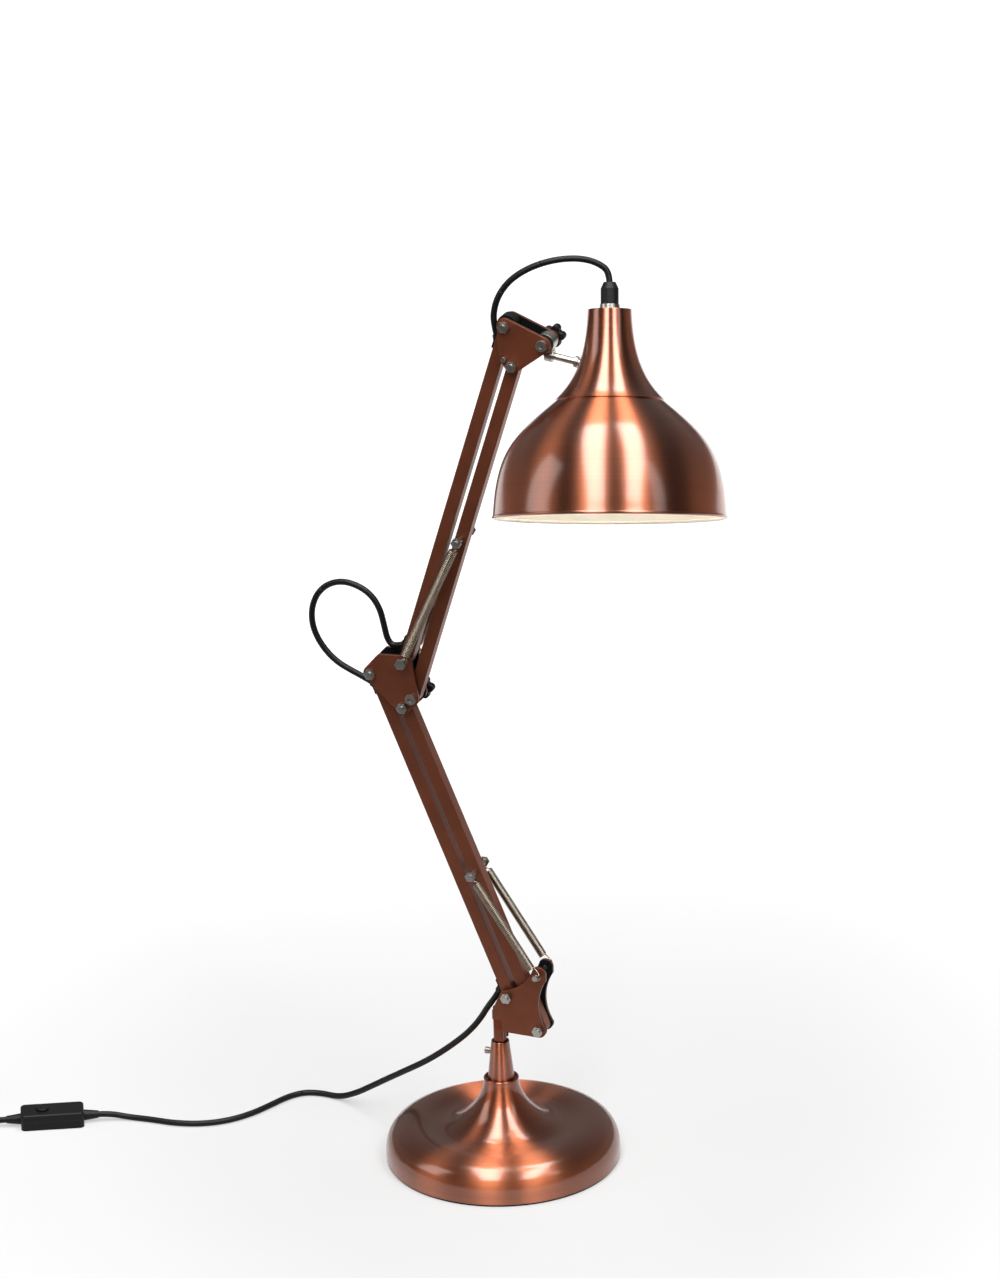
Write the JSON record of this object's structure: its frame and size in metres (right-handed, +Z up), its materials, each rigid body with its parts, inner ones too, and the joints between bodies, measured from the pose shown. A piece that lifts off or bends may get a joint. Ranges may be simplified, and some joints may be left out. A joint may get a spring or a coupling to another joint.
{
  "type": "articulated desk lamp",
  "caption": "Articulated desk lamp: round weighted base, spring-balanced parallel-link arms, clamp knobs and a spun bell shade that tilts and turns.",
  "frame": {"origin": "centre of the base's underside, on the table", "axes": "+Z up, +X forward to the shade in the plane of both arms, +Y to the side of the clamp knobs"},
  "size_m": [0.7434, 0.2198, 0.7599],
  "materials": {
    "copper": "spun copper, brushed round the axis and clear lacquered; white enamel inside the shade",
    "satin_copper": "satin brown copper",
    "nylon": "black moulded nylon, low sheen",
    "nickel": "bright nickel plate",
    "spring_steel": "drawn spring wire",
    "iron": "plain cast weight, out of sight",
    "felt": "black felt",
    "lamp_glass": "opal glass",
    "cord": "smooth black sheath"
  },
  "bodies": {
    "base": {"base_cover": "copper", "base_pad": "felt", "base_weight": "iron", "stem_socket": "copper", "stem_bush": "nylon", "stem_fixings": "nickel", "mains_cord": "cord", "mains_cord_tail": "cord", "mains_coil": "cord", "coil_tie": "nylon", "plug_cord": "cord", "plug_body": "nylon", "plug_pins": "nickel", "switch_base": "nylon", "switch_cover": "nylon"},
    "switch_button": {"switch_button": "nylon"},
    "base_bracket": {"base_bracket_front": "satin_copper", "base_bracket_back": "satin_copper", "base_bracket_liners": "nylon", "base_bracket_bolts": "nickel", "bracket_post": "satin_copper", "lower_spring_anchor": "nickel"},
    "lower_spring_foot": {"lower_spring_sleeves": "nickel"},
    "lower_spring": {"lower_springs": "spring_steel"},
    "lower_rear_bar": {"lower_rear_tube": "satin_copper", "lower_rear_plugs": "nylon", "lower_cord_run": "cord", "lower_grommets": "nylon"},
    "lower_front_bar": {"lower_front_tube": "satin_copper", "lower_front_plugs": "nylon", "lower_spring_pin": "nickel"},
    "elbow_bracket": {"elbow_front": "satin_copper", "elbow_back": "satin_copper", "elbow_liners": "nylon", "elbow_bolts": "nickel", "elbow_cord": "cord"},
    "elbow_knob": {"elbow_knob": "nylon"},
    "upper_spring_foot": {"upper_spring_sleeves": "nickel"},
    "upper_spring": {"upper_springs": "spring_steel"},
    "upper_rear_bar": {"upper_rear_tube": "satin_copper", "upper_rear_plugs": "nylon", "upper_cord_run": "cord", "upper_grommets": "nylon"},
    "upper_front_bar": {"upper_front_tube": "satin_copper", "upper_front_plugs": "nylon", "upper_spring_pin": "nickel"},
    "head_bracket": {"head_front": "satin_copper", "head_back": "satin_copper", "head_liners": "nylon", "head_bolts": "nickel", "head_cord": "cord"},
    "head_knob": {"head_knob": "nylon"},
    "yoke": {"yoke_eye": "nickel", "yoke_rod": "nickel"},
    "shade": {"shade_neck": "copper", "shade_dome": "copper", "lampholder": "nylon", "bulb": "lamp_glass", "cord_gland": "nylon", "gland_nut": "nickel"}
  },
  "joints": [
    {"name": "base_swivel", "type": "hinge", "parent": "base", "child": "base_bracket", "pos_m": [0, 0, 0.11], "axis": [0, 0, 1], "range_deg": [-170, 170], "deforming": ["mains_cord"]},
    {"name": "lower_swing", "type": "hinge", "parent": "base_bracket", "child": "lower_rear_bar", "pos_m": [0.0105, 0, 0.146], "axis": [0, 1, 0], "range_deg": [-4, 60], "deforming": ["mains_cord", "elbow_cord"]},
    {"name": "lower_front_swing", "type": "hinge", "parent": "base_bracket", "child": "lower_front_bar", "pos_m": [0.0367, 0, 0.1202], "axis": [0, 1, 0], "range_deg": [-4, 60]},
    {"name": "elbow_level", "type": "hinge", "parent": "lower_rear_bar", "child": "elbow_bracket", "pos_m": [-0.09655, 0, 0.41229], "axis": [0, 1, 0], "range_deg": [-60, 4], "deforming": ["elbow_cord"]},
    {"name": "upper_swing", "type": "hinge", "parent": "elbow_bracket", "child": "upper_rear_bar", "pos_m": [-0.06845, 0, 0.42529], "axis": [0, 1, 0], "range_deg": [-6, 70], "deforming": ["elbow_cord", "head_cord"]},
    {"name": "upper_front_swing", "type": "hinge", "parent": "elbow_bracket", "child": "upper_front_bar", "pos_m": [-0.06305, 0, 0.39429], "axis": [0, 1, 0], "range_deg": [-6, 70]},
    {"name": "head_level", "type": "hinge", "parent": "upper_rear_bar", "child": "head_bracket", "pos_m": [0.02364, 0, 0.7087], "axis": [0, 1, 0], "range_deg": [-70, 6], "deforming": ["head_cord"]},
    {"name": "head_tilt", "type": "hinge", "parent": "head_bracket", "child": "yoke", "pos_m": [0.05414, 0, 0.6959], "axis": [0, -1, 0], "range_deg": [-3, 60], "deforming": ["head_cord"]},
    {"name": "shade_roll", "type": "hinge", "parent": "yoke", "child": "shade", "pos_m": [0.05251, 0, 0.68614], "axis": [0.9863, 0, -0.165], "range_deg": [-68, 112], "deforming": ["head_cord"]},
    {"name": "elbow_knob_turn", "type": "hinge", "parent": "elbow_bracket", "child": "elbow_knob", "pos_m": [-0.06305, 0, 0.39429], "axis": [0, 1, 0], "continuous": true},
    {"name": "head_knob_turn", "type": "hinge", "parent": "head_bracket", "child": "head_knob", "pos_m": [0.05414, 0, 0.6959], "axis": [0, 1, 0], "continuous": true},
    {"name": "button_press", "type": "slide", "parent": "base", "child": "switch_button", "axis": [0, 0, -1], "range_m": [0, 0.0015], "stiffness_N_per_m": 400},
    {"name": "lower_spring_turn", "type": "hinge", "parent": "base_bracket", "child": "lower_spring_foot", "pos_m": [0.0375, 0, 0.1688], "axis": [0, 1, 0], "range_deg": [-6.33, 87.88]},
    {"name": "lower_spring_stretch", "type": "slide", "parent": "lower_spring_foot", "child": "lower_spring", "axis": [-0.5463, 0, 0.8376], "range_m": [-0.00066, 0.00847], "deforming": ["lower_springs"]},
    {"name": "upper_spring_turn", "type": "hinge", "parent": "elbow_bracket", "child": "upper_spring_foot", "pos_m": [-0.06845, 0, 0.42529], "axis": [0, 1, 0], "range_deg": [-6.9, 75.16]},
    {"name": "upper_spring_stretch", "type": "slide", "parent": "upper_spring_foot", "child": "upper_spring", "axis": [0.4266, 0, 0.9045], "range_m": [-0.00305, 0.03455], "deforming": ["upper_springs"]}
  ],
  "couplings": [
    {"joint": "lower_front_swing", "follows": "lower_swing", "ratio": 1},
    {"joint": "elbow_level", "follows": "lower_swing", "ratio": -1},
    {"joint": "upper_front_swing", "follows": "upper_swing", "ratio": 1},
    {"joint": "head_level", "follows": "upper_swing", "ratio": -1},
    {"joint": "lower_spring_turn", "follows": "lower_swing", "ratio": 1.4563},
    {"joint": "lower_spring_stretch", "follows": "lower_swing", "m_per_rad": 0.007996},
    {"joint": "upper_spring_turn", "follows": "upper_swing", "ratio": 1.0666},
    {"joint": "upper_spring_stretch", "follows": "upper_swing", "m_per_rad": 0.028196}
  ]
}
